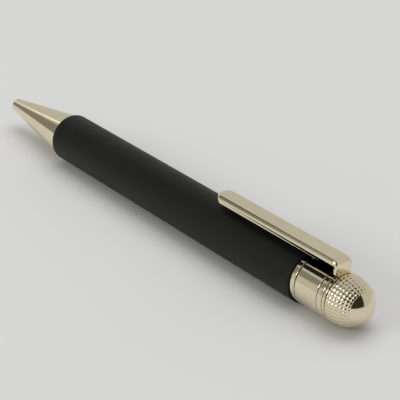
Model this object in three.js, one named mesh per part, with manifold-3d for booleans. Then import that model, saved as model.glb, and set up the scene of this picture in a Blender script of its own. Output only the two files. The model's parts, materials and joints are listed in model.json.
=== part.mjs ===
// A twist-action rollerball pen: tapered metal nose, soft-touch barrel, and a turning metal cap end that
// carries the pocket clip and a studded dome. Millimetres, +X from the point towards the dome, +Z up through
// the clip. The pen lies on the lowest flat of its barrel, with the origin below its middle.
import * as THREE from "three";
import { mergeVertices } from "three/addons/utils/BufferGeometryUtils.js";
import Module from "manifold-3d";

const wasm = await Module();
wasm.setup();

// ---- Clearances ----
const FIT = 0.05; // between pieces that are pressed, glued or clamped together
const RUN = 0.1; // between pieces that turn, slide or screw on each other
const LOOSE = 0.2; // around pieces that tilt, and between coils and walls
const FACE_GAP = 0.05; // between flat faces that rest on each other
const OVERSHOOT = 1; // how far a cutter runs past the face that it cuts

// ---- How finely round pieces are cut ----
const SKIN_SIDES = 48;
const BARREL_SIDES = 32; // fewer, so that the flat that the pen lies on is wide enough to keep it still
const INNER_SIDES = 24;
const POINT_SIDES = 16;
const ARC_MIDDLE = 1 - Math.SQRT1_2; // how far in the middle of a rounding lies, as a share of its radius

// ---- Refill ----
const REFILL_RADIUS = 2.95;
const REFILL_WALL = 0.4;
const REFILL_TAPER_END = 17.5; // distances along the refill are from the ball's front
const REFILL_SEAT = 10.7; // the step that the spring pushes on
const REFILL_SEAT_RADIUS = 1.75;
const TIP_RADIUS = 1.15;
const TIP_CONE = 4.2;
const TIP_LENGTH = 7.5;
const TIP_RIM_RADIUS = 0.46;
const BALL_RADIUS = 0.35;
const BALL_SOCKET_DEPTH = 0.85;
const BALL_SHOWING = 0.2;
const FEED_RADIUS = 0.45;
const FEED_LENGTH = 24;
const PLUG_LENGTH = 4;
const PLUG_SPIGOT = 3;
const PLUG_VENT_RADIUS = 0.4;
const SPIGOT_LENGTH = 3;

// ---- Nose ----
const NOSE_LENGTH = 26.3;
const MOUTH_RADIUS = 1.7;
const MOUTH_ROUNDING = 0.3;
const NOSE_STEP = 0.25; // how far the barrel stands proud of the nose
const NECK_LENGTH = 7;
const NECK_WALL = 0.9;
const BALL_SETBACK = 1.2; // from the mouth to the ball, with the point drawn in
const SPRING_SEAT = 4.3; // from the mouth
const SPRING_WIRE_RADIUS = 0.15;
const SPRING_TURNS = 8;
const SPRING_STEPS = 10; // lengths of wire in a turn
const SEAL_LENGTH = 0.8;
const SEAL_SETBACK = 0.6; // from the neck's end
const SEAL_DEPTH = 0.4;

// ---- Barrel ----
const BARREL_LENGTH = 90.66;
const BARREL_WALL = 0.9;
const BARREL_EDGE = 0.3;
const BUSH_WALL = 0.6;
const FRONT_BUSH_LENGTH = 9;
const REAR_BUSH_LENGTH = 14;
const BUSH_SETBACK = 0.4;

// ---- Twist mechanism ----
const TRAVEL = 4.2; // of the point, over the cap's whole turn
const TWIST = THREE.MathUtils.degToRad(105); // the cap's whole turn
const MECHANISM_REACH = 17.8; // from the refill's end to the barrel's end
const HOUSING_WALL = 1.05;
const HOUSING_LIP = 0.9; // how far the housing reaches over the refill
const HOUSING_TAIL = 4.4; // how far the housing stands out of the barrel
const FLANGE_HEIGHT = 0.5;
const FLANGE_LENGTH = 0.7;
const CAM_WALL = 0.8;
const PIN_RADIUS = 0.6;
const PIN_SETBACK = 13; // from the refill's end to the cam pin
const PUSHER_LENGTH = 2.4;
const CAM_SLOT_STEPS = 16;
const STEM_FLANGE = 0.6;
const STEM_SPIGOT = 1.8;
const STEM_RADIUS = 1.75;
const STEM_HEX_LENGTH = 3.6;
const WASHER_LENGTH = 0.35;
const CIRCLIP_LENGTH = 0.45;
const CIRCLIP_GAP = 1.6;
const CIRCLIP_DEPTH = 0.45;
const DRAG_RING_SETBACK = 0.7; // from the housing's flange
const DRAG_RING_LENGTH = 0.8;
const DRAG_RING_DEPTH = 0.4;

// ---- Cap end ----
const CAP_STEP = 0.39; // how far the barrel stands proud of the cap
const CAP_WALL = 0.46;
const CAP_EDGE = 0.12;
const TRIM_LENGTH = 1.3;
const TURN_GAP = 0.25; // the groove between the fixed ring and the turning cap
const BAND_LENGTH = 6.55;
const GROOVE = 0.15;
const DOME_GROOVE = 0.2;
const RING_LENGTH = 1.45;
const DOME_LENGTH = 6.95;
const DOME_POWER = 2.17; // 2 is an ellipse, and more is fuller
const DOME_STEPS = 12;
const DOME_SOCKET = 4;
const STUD_RADIUS = 1.5;
const CARRIER_NECK = 0.55; // how far the carrier is cut back under the rings

// ---- Clip ----
const CLIP_LENGTH = 39.9;
const CLIP_WIDTH = 4.4;
const CLIP_THICKNESS = 0.55;
const CLIP_FLANGE = 1.65; // height of the folded sides, outside
const CLIP_GAP = 1.4; // between the folded sides and the barrel
const CLIP_BEND = 1.2;
const CLIP_BEND_STEPS = 8;
const CLIP_END_STEPS = 24;
const CLIP_NOTCH = 0.3; // relief cut where a folded side meets the tail plate
const TONGUE_WIDTH = 3;
const TONGUE_DEPTH = 2.2; // inside the cap

// ---- Radii that follow ----
const neckBore = REFILL_RADIUS + LOOSE + FIT;
const neckRadius = neckBore + NECK_WALL;
const bushBore = neckRadius + RUN;
const barrelBore = bushBore + BUSH_WALL + FIT;
const barrelRadius = barrelBore + BARREL_WALL;
const noseRadius = barrelRadius - NOSE_STEP;
const mouthBore = TIP_RADIUS + RUN + FIT;
const springChamber = REFILL_SEAT_RADIUS + RUN;
const housingBore = REFILL_RADIUS + RUN;
const housingRadius = housingBore + HOUSING_WALL;
const flangeRadius = housingRadius + FLANGE_HEIGHT;
const camRadius = housingBore - RUN - FIT;
const camBore = camRadius - CAM_WALL;
const plungerRadius = camBore - RUN;
const capRadius = barrelRadius - CAP_STEP;
const capBore = capRadius - CAP_WALL;
const carrierRadius = capBore - FIT;
const reservoirRadius = REFILL_RADIUS - REFILL_WALL - RUN;
const ringBore = carrierRadius - CARRIER_NECK + FIT;

// ---- Stations along the pen that follow, from the joint of nose and barrel ----
const mouth = -NOSE_LENGTH;
const ball = mouth + BALL_SETBACK;
const barrelEnd = BARREL_LENGTH;
const refillEnd = barrelEnd - MECHANISM_REACH;
const trimEnd = barrelEnd + FACE_GAP + TRIM_LENGTH;
const bandFront = trimEnd + TURN_GAP;
const bandEnd = bandFront + BAND_LENGTH;
const ringFront = bandEnd + GROOVE;
const ringEnd = ringFront + RING_LENGTH;
const collarFront = ringEnd + GROOVE;
const collarEnd = collarFront + CLIP_THICKNESS + GROOVE;
const domeFront = collarEnd + DOME_GROOVE;
const domeEnd = domeFront + DOME_LENGTH;
const housingEnd = barrelEnd + HOUSING_TAIL;
const camPin = refillEnd + PIN_SETBACK;
const circlipEnd = housingEnd - 2 * RUN - FIT;
const circlipFront = circlipEnd - CIRCLIP_LENGTH;
const stemFlangeEnd = circlipFront - WASHER_LENGTH - 2 * FACE_GAP;
const camEnd = stemFlangeEnd - STEM_FLANGE - FACE_GAP;
const stemFront = camEnd - STEM_SPIGOT;
const carrierFront = housingEnd + 2 * RUN;
const stemEnd = carrierFront + STEM_HEX_LENGTH;

const axisHeight = barrelRadius;

// ---- Finishes ----
const FINISHES = {
  gold: { color: 0xd9cba0, roughness: 0.12, metalness: 1 },
  black: { color: 0x20201e, roughness: 0.62, metalness: 0 },
  brass: { color: 0xc9a75a, roughness: 0.3, metalness: 1 },
  steel: { color: 0xb8babd, roughness: 0.28, metalness: 1 },
  nickel: { color: 0xc6c2b4, roughness: 0.22, metalness: 1 },
  white_plastic: { color: 0xe6e4dc, roughness: 0.45, metalness: 0 },
  grey_plastic: { color: 0x6d6f72, roughness: 0.5, metalness: 0 },
  rubber: { color: 0x151515, roughness: 0.8, metalness: 0 },
  fibre: { color: 0x2b2f55, roughness: 0.95, metalness: 0 },
};

const pen = new THREE.Group();
pen.position.set(-(mouth + domeEnd) / 2, 0, axisHeight);

function add(name, finish, geometry) {
  const mesh = new THREE.Mesh(geometry, new THREE.MeshStandardMaterial(FINISHES[finish]));
  mesh.name = name;
  pen.add(mesh);
}

// ---- Shape helpers ----

// A piece turned about the pen's axis. The outline is [station, radius] points, out along the outer skin
// towards the dome and back along the bore. Its flats lie on the given radii, with one flat at the top.
function turned(outline, sides = INNER_SIDES) {
  const spread = 1 / Math.cos(Math.PI / sides);
  const points = outline.map(([station, radius]) => new THREE.Vector2(radius * spread, station));
  const onAxis = outline[0][1] === 0;
  if (!onAxis) points.push(points[0].clone());
  const geometry = new THREE.LatheGeometry(points, sides, Math.PI / sides, 2 * Math.PI);
  return geometry.rotateZ(-Math.PI / 2);
}

function ring(front, end, bore, radius, sides = INNER_SIDES) {
  return turned([[front, bore], [front, radius], [end, radius], [end, bore]], sides);
}

function rod(front, end, radius, sides = INNER_SIDES) {
  return turned([[front, 0], [front, radius], [end, radius], [end, 0]], sides);
}

// A tube whose outer edges are chamfered.
function edgedRing(front, end, bore, radius, edge, sides = SKIN_SIDES) {
  return turned([
    [front, bore], [front, radius - edge], [front + edge, radius],
    [end - edge, radius], [end, radius - edge], [end, bore],
  ], sides);
}

function block(front, end, low, high, halfWidth) {
  const shape = new THREE.BoxGeometry(end - front, 2 * halfWidth, high - low);
  return shape.translate((front + end) / 2, 0, (low + high) / 2);
}

// A round bar across the pen, along Y.
function crossBar(station, radius, width) {
  return new THREE.CylinderGeometry(radius, radius, width, INNER_SIDES / 2).translate(station, 0, 0);
}

// A bar that winds about the axis from one angle to another, for cutting a helical slot. The station of
// its middle is given by a function of the angle.
function windingBar(fromAngle, toAngle, stationAt, halfWidth, inner, outer) {
  const points = [];
  const faces = [];
  for (let step = 0; step <= CAM_SLOT_STEPS; step += 1) {
    const angle = fromAngle + ((toAngle - fromAngle) * step) / CAM_SLOT_STEPS;
    const middle = stationAt(angle);
    for (const [side, radius] of [[-1, inner], [-1, outer], [1, outer], [1, inner]]) {
      points.push(middle + side * halfWidth, radius * Math.cos(angle), radius * Math.sin(angle));
    }
  }
  for (let step = 0; step < CAM_SLOT_STEPS; step += 1) {
    for (let corner = 0; corner < 4; corner += 1) {
      const here = 4 * step + corner;
      const next = 4 * step + ((corner + 1) % 4);
      faces.push(here, here + 4, next, next, here + 4, next + 4);
    }
  }
  const last = 4 * CAM_SLOT_STEPS;
  faces.push(0, 1, 2, 0, 2, 3, last, last + 2, last + 1, last, last + 3, last + 2);
  const geometry = new THREE.BufferGeometry();
  geometry.setAttribute("position", new THREE.Float32BufferAttribute(points, 3));
  return geometry.setIndex(faces);
}

function solidOf(geometry) {
  const bare = geometry.clone();
  bare.deleteAttribute("normal");
  bare.deleteAttribute("uv");
  const merged = mergeVertices(bare, 1e-4);
  return new wasm.Manifold(new wasm.Mesh({
    numProp: 3,
    vertProperties: merged.attributes.position.array,
    triVerts: new Uint32Array(merged.index.array),
  }));
}

function geometryOf(solid) {
  const mesh = solid.getMesh();
  const geometry = new THREE.BufferGeometry();
  geometry.setAttribute("position", new THREE.BufferAttribute(mesh.vertProperties, 3));
  return geometry.setIndex(new THREE.BufferAttribute(mesh.triVerts, 1));
}

function cut(base, ...tools) {
  return geometryOf(tools.reduce((solid, tool) => solid.subtract(solidOf(tool)), solidOf(base)));
}

function join(...pieces) {
  return geometryOf(pieces.map(solidOf).reduce((whole, piece) => whole.add(piece)));
}

function overlap(one, other) {
  return geometryOf(solidOf(one).intersect(solidOf(other)));
}

// ---- Nose ----

function noseCone() {
  const neckEnd = NECK_LENGTH;
  const sealEnd = neckEnd - SEAL_SETBACK;
  const sealFront = sealEnd - SEAL_LENGTH - 2 * FIT;
  const grooveRadius = neckRadius - SEAL_DEPTH;
  const taperFront = ball + REFILL_SEAT - TRAVEL - LOOSE;
  const taperEnd = ball + REFILL_TAPER_END - TRAVEL - LOOSE;
  return turned([
    [mouth, mouthBore], [mouth, MOUTH_RADIUS - MOUTH_ROUNDING],
    [mouth + ARC_MIDDLE * MOUTH_ROUNDING, MOUTH_RADIUS - ARC_MIDDLE * MOUTH_ROUNDING],
    [mouth + MOUTH_ROUNDING, MOUTH_RADIUS], [0, noseRadius], [0, neckRadius],
    [sealFront, neckRadius], [sealFront, grooveRadius], [sealEnd, grooveRadius], [sealEnd, neckRadius],
    [neckEnd, neckRadius], [neckEnd, neckBore],
    [taperEnd, neckBore], [taperFront, springChamber],
    [mouth + SPRING_SEAT, springChamber], [mouth + SPRING_SEAT, mouthBore],
  ], SKIN_SIDES);
}

function noseSeal() {
  const end = NECK_LENGTH - SEAL_SETBACK - FIT;
  return ring(end - SEAL_LENGTH, end, neckRadius - SEAL_DEPTH + FIT, neckRadius + FIT);
}

// ---- Refill ----

function writingBall() {
  const sphere = new THREE.SphereGeometry(BALL_RADIUS, 12, 8);
  return sphere.translate(ball + BALL_RADIUS, 0, 0);
}

function refillTip() {
  const rim = ball + BALL_SHOWING;
  const socketEnd = ball + BALL_SOCKET_DEPTH;
  const socketRadius = BALL_RADIUS + FIT;
  const throat = BALL_RADIUS / 2;
  const feedFront = ball + TIP_CONE / 2;
  return turned([
    [rim, socketRadius], [rim, TIP_RIM_RADIUS], [ball + TIP_CONE, TIP_RADIUS],
    [ball + TIP_LENGTH, TIP_RADIUS], [ball + TIP_LENGTH, FEED_RADIUS + FIT],
    [feedFront, FEED_RADIUS + FIT], [feedFront, throat], [socketEnd, throat], [socketEnd, socketRadius],
  ], POINT_SIDES);
}

function refillNose() {
  const taperEnd = ball + REFILL_TAPER_END;
  const spigotRadius = REFILL_RADIUS - REFILL_WALL - FIT;
  const front = ball + TIP_LENGTH + FACE_GAP;
  const seat = ball + REFILL_SEAT;
  return turned([
    [front, FEED_RADIUS + FIT], [front, TIP_RADIUS], [seat, TIP_RADIUS], [seat, REFILL_SEAT_RADIUS],
    [taperEnd, REFILL_RADIUS], [taperEnd, spigotRadius],
    [taperEnd + SPIGOT_LENGTH, spigotRadius], [taperEnd + SPIGOT_LENGTH, FEED_RADIUS + FIT],
  ]);
}

function refillTube() {
  const front = ball + REFILL_TAPER_END + FACE_GAP;
  return ring(front, refillEnd - PLUG_LENGTH - FACE_GAP, REFILL_RADIUS - REFILL_WALL, REFILL_RADIUS);
}

function inkFeed() {
  const front = ball + TIP_CONE / 2 + FIT;
  return rod(front, front + FEED_LENGTH, FEED_RADIUS, POINT_SIDES);
}

function inkReservoir() {
  const front = ball + REFILL_TAPER_END + SPIGOT_LENGTH + FACE_GAP;
  const end = refillEnd - PLUG_LENGTH - PLUG_SPIGOT - FACE_GAP;
  const feedEnd = ball + TIP_CONE / 2 + FIT + FEED_LENGTH + FIT;
  return turned([
    [front, FEED_RADIUS + FIT], [front, reservoirRadius], [end, reservoirRadius], [end, 0],
    [feedEnd, 0], [feedEnd, FEED_RADIUS + FIT],
  ]);
}

function refillPlug() {
  const spigotRadius = REFILL_RADIUS - REFILL_WALL - FIT;
  const head = refillEnd - PLUG_LENGTH;
  return turned([
    [head - PLUG_SPIGOT, PLUG_VENT_RADIUS], [head - PLUG_SPIGOT, spigotRadius], [head, spigotRadius],
    [head, REFILL_RADIUS], [refillEnd, REFILL_RADIUS], [refillEnd, PLUG_VENT_RADIUS],
  ]);
}

// A coil of round wire between the seat in the nose and the step on the refill.
function returnSpring() {
  const radius = (TIP_RADIUS + springChamber) / 2;
  const front = mouth + SPRING_SEAT + SPRING_WIRE_RADIUS + FACE_GAP;
  const end = ball + REFILL_SEAT - SPRING_WIRE_RADIUS - FACE_GAP;
  class Coil extends THREE.Curve {
    getPoint(share, target = new THREE.Vector3()) {
      const angle = 2 * Math.PI * SPRING_TURNS * share;
      return target.set(front + (end - front) * share, radius * Math.cos(angle), radius * Math.sin(angle));
    }
  }
  const wire = new THREE.Shape();
  wire.absarc(0, 0, SPRING_WIRE_RADIUS, 0, 2 * Math.PI);
  return new THREE.ExtrudeGeometry(wire, {
    steps: SPRING_TURNS * SPRING_STEPS,
    curveSegments: 3,
    extrudePath: new Coil(),
  });
}

// ---- Barrel ----

function barrelTube() {
  const soft = ARC_MIDDLE * BARREL_EDGE;
  return turned([
    [FACE_GAP, barrelBore], [FACE_GAP, barrelRadius - BARREL_EDGE],
    [FACE_GAP + soft, barrelRadius - soft], [FACE_GAP + BARREL_EDGE, barrelRadius],
    [barrelEnd - BARREL_EDGE, barrelRadius], [barrelEnd - soft, barrelRadius - soft],
    [barrelEnd, barrelRadius - BARREL_EDGE], [barrelEnd, barrelBore],
  ], BARREL_SIDES);
}

function bush(front, end, bore) {
  return ring(front, end, bore, barrelBore - FIT, SKIN_SIDES);
}

// ---- Twist mechanism ----

function mechanismHousing() {
  const front = refillEnd - HOUSING_LIP;
  const flangeFront = trimEnd + FACE_GAP;
  const flangeEnd = flangeFront + FLANGE_LENGTH;
  const dragFront = flangeEnd + DRAG_RING_SETBACK;
  const dragEnd = dragFront + DRAG_RING_LENGTH + 2 * FIT;
  const dragRadius = housingRadius - DRAG_RING_DEPTH;
  const clipGrooveFront = circlipFront - FIT;
  const clipGrooveEnd = circlipEnd + FIT;
  const clipGrooveRadius = housingBore + CIRCLIP_DEPTH;
  const tube = turned([
    [front, housingBore], [front, housingRadius], [flangeFront, housingRadius],
    [flangeFront, flangeRadius], [flangeEnd, flangeRadius], [flangeEnd, housingRadius],
    [dragFront, housingRadius], [dragFront, dragRadius], [dragEnd, dragRadius], [dragEnd, housingRadius],
    [housingEnd, housingRadius], [housingEnd, housingBore],
    [clipGrooveEnd, housingBore], [clipGrooveEnd, clipGrooveRadius],
    [clipGrooveFront, clipGrooveRadius], [clipGrooveFront, housingBore],
  ]);
  const reach = PIN_RADIUS + RUN + FIT;
  const slots = block(camPin - TRAVEL - reach, camPin + reach, -reach, reach, housingRadius + OVERSHOOT);
  return cut(tube, slots);
}

function dragRing() {
  const front = trimEnd + FACE_GAP + FLANGE_LENGTH + DRAG_RING_SETBACK + FIT;
  return ring(front, front + DRAG_RING_LENGTH, housingRadius - DRAG_RING_DEPTH + FIT, housingRadius + FIT);
}

function camSleeve() {
  const front = refillEnd + PUSHER_LENGTH + FACE_GAP + 2 * RUN;
  const ease = Math.asin((PIN_RADIUS + RUN) / camBore);
  const slope = TRAVEL / (TWIST * camBore);
  const halfWidth = PIN_RADIUS * Math.hypot(1, slope) + RUN;
  const slots = [0, Math.PI].map((start) => windingBar(
    start - ease,
    start + TWIST + ease,
    (angle) => camPin - TRAVEL * THREE.MathUtils.clamp((angle - start) / TWIST, 0, 1),
    halfWidth,
    camBore - CAM_WALL,
    camRadius + CAM_WALL,
  ));
  return cut(ring(front, camEnd, camBore, camRadius), ...slots);
}

function plunger() {
  const front = refillEnd + FACE_GAP;
  const padEnd = front + PUSHER_LENGTH;
  const shaft = turned([
    [front, 0], [front, REFILL_RADIUS - FIT], [padEnd, REFILL_RADIUS - FIT], [padEnd, plungerRadius],
    [stemFront - RUN, plungerRadius], [stemFront - RUN, 0],
  ]);
  return cut(shaft, crossBar(camPin, PIN_RADIUS + FIT, 2 * (plungerRadius + OVERSHOOT)));
}

function camPinBar() {
  return crossBar(camPin, PIN_RADIUS, 2 * (housingBore + HOUSING_WALL / 2));
}

function driveStem() {
  const flangeFront = camEnd + FACE_GAP;
  const round = turned([
    [stemFront, 0], [stemFront, camBore - FIT], [flangeFront, camBore - FIT], [flangeFront, camRadius],
    [stemFlangeEnd, camRadius], [stemFlangeEnd, STEM_RADIUS], [carrierFront, STEM_RADIUS], [carrierFront, 0],
  ]);
  return join(round, rod(carrierFront - FIT, stemEnd, STEM_RADIUS, 6));
}

function thrustWasher() {
  const front = stemFlangeEnd + FACE_GAP;
  return ring(front, front + WASHER_LENGTH, STEM_RADIUS + RUN, camRadius);
}

function circlip() {
  const whole = ring(circlipFront, circlipEnd, STEM_RADIUS + LOOSE, housingBore + CIRCLIP_DEPTH - FIT);
  const opening = block(circlipFront - OVERSHOOT, circlipEnd + OVERSHOOT, -housingRadius, 0, CIRCLIP_GAP / 2);
  return cut(whole, opening);
}

// ---- Cap end ----

function trimRing() {
  return edgedRing(barrelEnd + FACE_GAP, trimEnd, housingRadius + FIT, capRadius, CAP_EDGE);
}

function capBearing() {
  const front = trimEnd + 2 * FACE_GAP + FLANGE_LENGTH + RUN;
  return ring(front, carrierFront - FACE_GAP, housingRadius + RUN, carrierRadius);
}

// The slot through collar and carrier that holds the clip's tongue.
function tongueSlot() {
  const low = capRadius - TONGUE_DEPTH - LOOSE;
  const halfWidth = TONGUE_WIDTH / 2 + LOOSE;
  return block(collarFront - LOOSE, domeFront + OVERSHOOT, low, capRadius + OVERSHOOT, halfWidth);
}

function capCarrier() {
  const neck = carrierRadius - CARRIER_NECK;
  const body = turned([
    [carrierFront, 0], [carrierFront, carrierRadius], [bandEnd, carrierRadius], [bandEnd, neck],
    [collarEnd, neck], [collarEnd, 0],
  ]);
  const hexBore = rod(carrierFront - OVERSHOOT, stemEnd + RUN, STEM_RADIUS + RUN, 6);
  const studBore = rod(stemEnd, collarEnd + OVERSHOOT, STUD_RADIUS + FIT);
  return cut(body, hexBore, studBore, tongueSlot());
}

function clipCollar() {
  const front = collarFront;
  const whole = turned([
    [front, ringBore], [front, capRadius - CAP_EDGE], [front + CAP_EDGE, capRadius],
    [collarEnd - CAP_EDGE, capRadius], [collarEnd, capRadius - CAP_EDGE], [collarEnd, ringBore],
  ], SKIN_SIDES);
  return cut(whole, tongueSlot());
}

function knurledDome() {
  const outline = [[domeFront, 0], [domeFront, capRadius - CAP_EDGE]];
  for (let step = 0; step <= DOME_STEPS; step += 1) {
    const share = Math.sin((Math.PI / 2) * (step / DOME_STEPS));
    const height = Math.max(0, 1 - share ** DOME_POWER) ** 0.5;
    outline.push([domeFront + CAP_EDGE + (DOME_LENGTH - CAP_EDGE) * share, capRadius * height]);
  }
  const socket = rod(domeFront - OVERSHOOT, domeFront + DOME_SOCKET + FIT, STUD_RADIUS + FIT);
  return cut(turned(outline, SKIN_SIDES), socket);
}

// ---- Clip ----

// A tray stamped from one strip: flat top, folded sides round a half-round front, and a rounded rear bend
// into the tail plate, whose tongue goes down through the collar.
function pocketClip() {
  const half = CLIP_WIDTH / 2;
  const rear = collarFront + CLIP_THICKNESS;
  const front = rear - CLIP_LENGTH;
  const low = barrelRadius + CLIP_GAP;
  const high = low + CLIP_FLANGE;

  // The outline seen from above, drawn in by an inset: straight sides and a half-round front.
  function fromAbove(inset, bottom) {
    const shape = new THREE.Shape();
    shape.moveTo(rear - inset, inset - half);
    shape.lineTo(rear - inset, half - inset);
    shape.absarc(front + half, 0, half - inset, Math.PI / 2, 1.5 * Math.PI);
    const settings = { depth: high - bottom, bevelEnabled: false, curveSegments: CLIP_END_STEPS };
    return new THREE.ExtrudeGeometry(shape, settings).translate(0, 0, bottom);
  }

  // The outline seen from the side, drawn in by an inset: flat top and rounded rear bend.
  function fromTheSide(inset, bottom) {
    const shape = new THREE.Shape();
    const bend = CLIP_BEND - inset;
    shape.moveTo(front - OVERSHOOT, bottom);
    shape.lineTo(rear - inset, bottom);
    shape.absarc(rear - CLIP_BEND, high - CLIP_BEND, bend, 0, Math.PI / 2);
    shape.lineTo(front - OVERSHOOT, high - inset);
    const width = CLIP_WIDTH + 2 * OVERSHOOT;
    const settings = { depth: width, bevelEnabled: false, curveSegments: CLIP_BEND_STEPS };
    return new THREE.ExtrudeGeometry(shape, settings).rotateX(Math.PI / 2).translate(0, width / 2, 0);
  }

  const tongueEnd = capRadius - TONGUE_DEPTH;
  const shell = overlap(fromAbove(0, low), fromTheSide(0, low));
  const hollow = overlap(
    fromAbove(CLIP_THICKNESS, low - OVERSHOOT),
    fromTheSide(CLIP_THICKNESS, low - OVERSHOOT),
  );
  const tail = block(rear - CLIP_THICKNESS, rear, tongueEnd, high - CLIP_BEND, half);
  const notchEnd = rear - CLIP_THICKNESS;
  const notches = block(notchEnd - CLIP_NOTCH, notchEnd, low - OVERSHOOT, low + CLIP_NOTCH, half + OVERSHOOT);

  // Just above the cap's skin the plate narrows to the tongue, with a slanted corner on each side.
  const shoulder = capRadius + CLIP_THICKNESS;
  const corners = [-1, 1].map((side) => {
    const shape = new THREE.Shape();
    shape.moveTo(side * (TONGUE_WIDTH / 2), tongueEnd - OVERSHOOT);
    shape.lineTo(side * (TONGUE_WIDTH / 2), capRadius - CLIP_THICKNESS / 2);
    shape.lineTo(side * half, shoulder);
    shape.lineTo(side * (half + OVERSHOOT), shoulder);
    shape.lineTo(side * (half + OVERSHOOT), tongueEnd - OVERSHOOT);
    const acrossThePen = new THREE.Matrix4().makeBasis(
      new THREE.Vector3(0, 1, 0), new THREE.Vector3(0, 0, 1), new THREE.Vector3(1, 0, 0),
    );
    const bar = new THREE.ExtrudeGeometry(shape, { depth: 2 * OVERSHOOT, bevelEnabled: false });
    return bar.applyMatrix4(acrossThePen).translate(rear - OVERSHOOT, 0, 0);
  });
  return cut(join(cut(shell, hollow), tail), notches, ...corners);
}

// ---- The pen, from the point back ----
add("nose_cone", "gold", noseCone());
add("nose_seal", "rubber", noseSeal());
add("writing_ball", "steel", writingBall());
add("refill_tip", "nickel", refillTip());
add("refill_nose", "white_plastic", refillNose());
add("refill_tube", "steel", refillTube());
add("refill_plug", "white_plastic", refillPlug());
add("ink_feed", "fibre", inkFeed());
add("ink_reservoir", "fibre", inkReservoir());
add("return_spring", "steel", returnSpring());
add("barrel_tube", "black", barrelTube());
add("front_bush", "brass", bush(BUSH_SETBACK, BUSH_SETBACK + FRONT_BUSH_LENGTH, bushBore));
add("rear_bush", "brass", bush(barrelEnd - REAR_BUSH_LENGTH, barrelEnd - BUSH_SETBACK, housingRadius + RUN));
add("mechanism_housing", "brass", mechanismHousing());
add("cam_sleeve", "grey_plastic", camSleeve());
add("plunger", "white_plastic", plunger());
add("cam_pin", "steel", camPinBar());
add("drive_stem", "brass", driveStem());
add("thrust_washer", "steel", thrustWasher());
add("circlip", "steel", circlip());
add("drag_ring", "rubber", dragRing());
add("trim_ring", "gold", trimRing());
add("cap_band", "gold", edgedRing(bandFront, bandEnd, capBore, capRadius, CAP_EDGE));
add("cap_bearing", "grey_plastic", capBearing());
add("cap_carrier", "brass", capCarrier());
add("decor_ring", "gold", edgedRing(ringFront, ringEnd, ringBore, capRadius, CAP_EDGE));
add("clip_collar", "gold", clipCollar());
add("pocket_clip", "gold", pocketClip());
add("dome_stud", "steel", rod(stemEnd + 2 * RUN, domeFront + DOME_SOCKET, STUD_RADIUS));
add("knurled_dome", "gold", knurledDome());

export default pen;
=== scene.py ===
import bisect
import json
import math
from contextlib import contextmanager

import bmesh
import bpy
from mathutils import Matrix, Vector


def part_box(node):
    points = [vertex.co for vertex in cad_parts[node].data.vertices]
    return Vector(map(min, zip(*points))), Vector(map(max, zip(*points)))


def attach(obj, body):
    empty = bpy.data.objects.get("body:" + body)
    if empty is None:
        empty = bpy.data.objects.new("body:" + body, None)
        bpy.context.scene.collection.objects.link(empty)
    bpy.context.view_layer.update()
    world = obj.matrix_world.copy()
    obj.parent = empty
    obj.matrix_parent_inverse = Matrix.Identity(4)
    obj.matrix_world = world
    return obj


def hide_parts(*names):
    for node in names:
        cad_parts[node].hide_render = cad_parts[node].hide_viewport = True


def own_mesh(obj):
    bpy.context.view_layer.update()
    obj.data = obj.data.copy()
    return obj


# A twist-action rollerball pen: polished pale gold nose, clip and cap end, and a matt black barrel.
# It lies along X with its point towards -X and its clip on top.

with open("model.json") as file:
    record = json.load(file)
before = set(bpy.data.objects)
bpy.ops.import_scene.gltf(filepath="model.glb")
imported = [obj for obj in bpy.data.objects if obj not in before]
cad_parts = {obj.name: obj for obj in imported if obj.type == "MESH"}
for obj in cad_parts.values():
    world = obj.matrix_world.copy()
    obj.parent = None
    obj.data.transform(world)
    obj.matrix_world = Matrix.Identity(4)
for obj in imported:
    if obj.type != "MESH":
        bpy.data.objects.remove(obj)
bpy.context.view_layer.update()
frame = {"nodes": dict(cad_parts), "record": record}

MM = 0.001

# ---- Clearances and sizes that the boxes of the CAD nodes don't give ----
FIT = 0.05 * MM  # round a piece that stays where it is
RUN = 0.1 * MM  # round a piece that turns or slides
LOOSE = 0.2 * MM
FACE_GAP = 0.05 * MM  # between faces that meet
SKIN_EDGE = 0.12 * MM  # rounding of the polished pieces' edges
SOFT_EDGE = 0.3 * MM  # rounding of the barrel's ends and of the mouth
FINE_EDGE = 0.05 * MM  # rounding of small turned pieces
CLIP_EDGE = 1.0 * MM  # rounding of the clip's folded edges
CLIP_EDGE_STEPS = 10
CLIP_TAIL_SHARE = 0.35  # of that rounding, down the tail plate
CLIP_BEND = 1.2 * MM  # radius of the bend into the tail plate
CLIP_EASE = 0.25 * MM  # of the bend's lower end, with the tail plate's rounding
CLIP_NOTCH_TOP = 13.2 * MM  # height of the small notch between folded side and tail plate
CLIP_NOTCH_REACH = 0.45 * MM
CLIP_INNER_EDGE = 0.08 * MM  # rounding of its other edges
CLIP_WELD = 0.002 * MM  # vertices this close are made one
FOLD_ANGLE = math.radians(60)  # least angle of a folded edge, and of a sharp one
SHARP_ANGLE = math.radians(35)
SQUARE = 0.01  # most of a face's normal along an axis that the face is square to
TONGUE_HALF = 1.5 * MM  # half the width of the clip's tongue
THREAD_PITCH = 0.75 * MM  # nose and front bush: the pitch of the joint that unscrews the nose
FINE_PITCH = 0.5 * MM  # rear bush, housing and stud
THREAD_DEPTH = 0.3 * MM
FINE_DEPTH = 0.16 * MM
RINGS_PER_THREAD = 12
KNURL_COUNT = 60
KNURL_STEPS = 360
KNURL_DEPTH = 0.04 * MM
KNURL_RUN = 0.1 * MM  # from the smooth skin to full depth

# ---- Nose ----
MOUTH_RADIUS = 1.7 * MM
CHAMBER_RADIUS = 1.85 * MM  # of the bore that holds the spring
NECK_WALL = 0.9 * MM
TAPER_START = 3.0 * MM  # behind the refill's plastic front when the point is out
TAPER_END = 14.3 * MM  # from the mouth

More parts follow.
